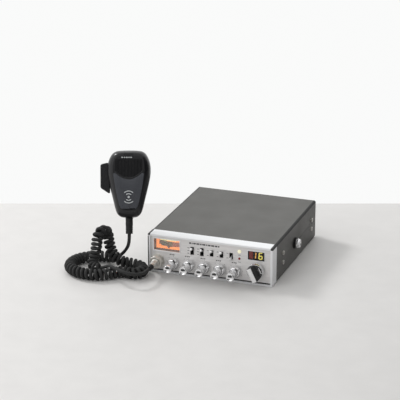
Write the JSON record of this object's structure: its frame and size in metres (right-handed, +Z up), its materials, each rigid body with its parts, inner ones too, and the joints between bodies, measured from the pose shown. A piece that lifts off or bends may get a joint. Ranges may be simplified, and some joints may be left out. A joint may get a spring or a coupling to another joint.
{
  "type": "mobile transceiver",
  "caption": "Mobile two-way radio with a row of control knobs, toggle switches, signal meter, channel knob and a hand microphone on a curly cord.",
  "frame": {"origin": "centre of the radio's bottom face", "axes": "+Z up, the front panel faces -Y, +X to the right as seen from the front"},
  "size_m": [0.306, 0.2914, 0.17],
  "materials": {
    "bezel_finish": "satin silver paint",
    "faceplate_finish": "brushed, clear coated",
    "cover_finish": "fine textured dark grey paint",
    "zinc_plate": "zinc plated",
    "circuit_board": "solder-mask green",
    "chrome_plate": "bright",
    "black_moulding": "matt black",
    "dark_moulding": "satin black, fine texture",
    "clear_window": "clear",
    "smoked_window": "smoked, glossy",
    "meter_card": "lit amber card",
    "needle_paint": "matt",
    "green_lens": "frosted",
    "red_lens": "gloss",
    "rubber_black": "matt",
    "cord_jacket": "semi-gloss",
    "nickel_plate": "nickel plated",
    "component_case": "plain",
    "paper_cone": "matt paper"
  },
  "bodies": {
    "radio": {"front_bezel": "bezel_finish", "faceplate": "faceplate_finish", "top_cover": "cover_finish", "bottom_cover": "cover_finish", "chassis_frame": "zinc_plate", "rear_panel": "zinc_plate", "front_board": "circuit_board", "main_board": "circuit_board", "control_pots": "nickel_plate", "channel_switch": "black_moulding", "toggle_bodies": "black_moulding", "meter_case": "black_moulding", "meter_scale": "meter_card", "meter_lens": "clear_window", "channel_display": "black_moulding", "display_window": "smoked_window", "receive_lamp": "green_lens", "transmit_lamp": "red_lens", "cover_screws": "nickel_plate", "rear_screws": "nickel_plate", "bolt_washers": "rubber_black", "antenna_socket": "nickel_plate", "power_inlet": "black_moulding", "speaker_jacks": "black_moulding", "tuning_cans": "component_case", "capacitors": "black_moulding", "heat_sink": "component_case", "speaker_frame": "zinc_plate", "speaker_cone": "paper_cone", "microphone_socket": "nickel_plate"},
    "calibrate_knob": {"calibrate_knob": "chrome_plate"},
    "volume_knob": {"volume_knob": "chrome_plate"},
    "squelch_knob": {"squelch_knob": "chrome_plate"},
    "mic_gain_knob": {"mic_gain_knob": "chrome_plate"},
    "rf_gain_knob": {"rf_gain_knob": "chrome_plate"},
    "channel_knob": {"channel_knob": "chrome_plate"},
    "toggle_lever_1": {"toggle_lever_1": "chrome_plate"},
    "toggle_lever_2": {"toggle_lever_2": "chrome_plate"},
    "toggle_lever_3": {"toggle_lever_3": "chrome_plate"},
    "toggle_lever_4": {"toggle_lever_4": "chrome_plate"},
    "toggle_lever_5": {"toggle_lever_5": "chrome_plate"},
    "meter_needle": {"meter_needle": "needle_paint"},
    "bracket_bolt_right": {"bracket_bolt_right": "chrome_plate"},
    "bracket_bolt_left": {"bracket_bolt_left": "chrome_plate"},
    "microphone": {"mic_front_shell": "dark_moulding", "mic_back_shell": "dark_moulding", "mic_grille": "dark_moulding", "mic_capsule": "component_case", "mic_switch": "black_moulding", "hang_button": "nickel_plate", "mic_screws": "nickel_plate", "mic_boot": "rubber_black", "mic_lead": "cord_jacket", "curly_cord": "cord_jacket", "plug_lead": "cord_jacket", "plug_boot": "rubber_black", "plug_shell": "nickel_plate", "plug_insert": "black_moulding"},
    "coupling_ring": {"coupling_ring": "nickel_plate"},
    "ptt_lever": {"ptt_lever": "dark_moulding"}
  },
  "joints": [
    {"name": "calibrate_turn", "type": "hinge", "parent": "radio", "child": "calibrate_knob", "pos_m": [-0.0545, -0.115, 0.016], "axis": [0, 1, 0], "range_deg": [-150, 150]},
    {"name": "volume_turn", "type": "hinge", "parent": "radio", "child": "volume_knob", "pos_m": [-0.0315, -0.115, 0.016], "axis": [0, 1, 0], "range_deg": [-150, 150]},
    {"name": "squelch_turn", "type": "hinge", "parent": "radio", "child": "squelch_knob", "pos_m": [-0.0085, -0.115, 0.016], "axis": [0, 1, 0], "range_deg": [-150, 150]},
    {"name": "mic_gain_turn", "type": "hinge", "parent": "radio", "child": "mic_gain_knob", "pos_m": [0.0145, -0.115, 0.016], "axis": [0, 1, 0], "range_deg": [-150, 150]},
    {"name": "rf_gain_turn", "type": "hinge", "parent": "radio", "child": "rf_gain_knob", "pos_m": [0.0375, -0.115, 0.016], "axis": [0, 1, 0], "range_deg": [-150, 150]},
    {"name": "channel_turn", "type": "hinge", "parent": "radio", "child": "channel_knob", "pos_m": [0.0676, -0.112, 0.0213], "axis": [0, 1, 0], "continuous": true},
    {"name": "toggle_1_flip", "type": "hinge", "parent": "radio", "child": "toggle_lever_1", "pos_m": [-0.0266, -0.0965, 0.038], "axis": [1, 0, 0], "range_deg": [0, 40]},
    {"name": "toggle_2_flip", "type": "hinge", "parent": "radio", "child": "toggle_lever_2", "pos_m": [-0.0122, -0.0965, 0.038], "axis": [1, 0, 0], "range_deg": [0, 40]},
    {"name": "toggle_3_flip", "type": "hinge", "parent": "radio", "child": "toggle_lever_3", "pos_m": [0.0022, -0.0965, 0.038], "axis": [1, 0, 0], "range_deg": [0, 40]},
    {"name": "toggle_4_flip", "type": "hinge", "parent": "radio", "child": "toggle_lever_4", "pos_m": [0.0166, -0.0965, 0.038], "axis": [1, 0, 0], "range_deg": [0, 40]},
    {"name": "toggle_5_flip", "type": "hinge", "parent": "radio", "child": "toggle_lever_5", "pos_m": [0.031, -0.0965, 0.038], "axis": [1, 0, 0], "range_deg": [-40, 0]},
    {"name": "needle_swing", "type": "hinge", "parent": "radio", "child": "meter_needle", "pos_m": [-0.0643, -0.095, 0.036], "axis": [0, 1, 0], "range_deg": [0, 84]},
    {"name": "right_bolt_turn", "type": "hinge", "parent": "radio", "child": "bracket_bolt_right", "pos_m": [0.096, -0.001, 0.0285], "axis": [1, 0, 0], "continuous": true},
    {"name": "left_bolt_turn", "type": "hinge", "parent": "radio", "child": "bracket_bolt_left", "pos_m": [-0.096, -0.001, 0.0285], "axis": [1, 0, 0], "continuous": true},
    {"name": "plug_pull", "type": "slide", "parent": "radio", "child": "microphone", "axis": [0, -1, 0], "range_m": [0, 0.015]},
    {"name": "ring_turn", "type": "hinge", "parent": "microphone", "child": "coupling_ring", "pos_m": [-0.078, -0.11, 0.017], "axis": [0, 1, 0], "continuous": true},
    {"name": "talk_press", "type": "hinge", "parent": "microphone", "child": "ptt_lever", "pos_m": [-0.14933, -0.10422, 0.11142], "axis": [-0.3271, 0.8986, -0.2924], "range_deg": [0, 4], "stiffness_Nm_per_rad": 0.8, "springref_deg": -2.86}
  ]
}
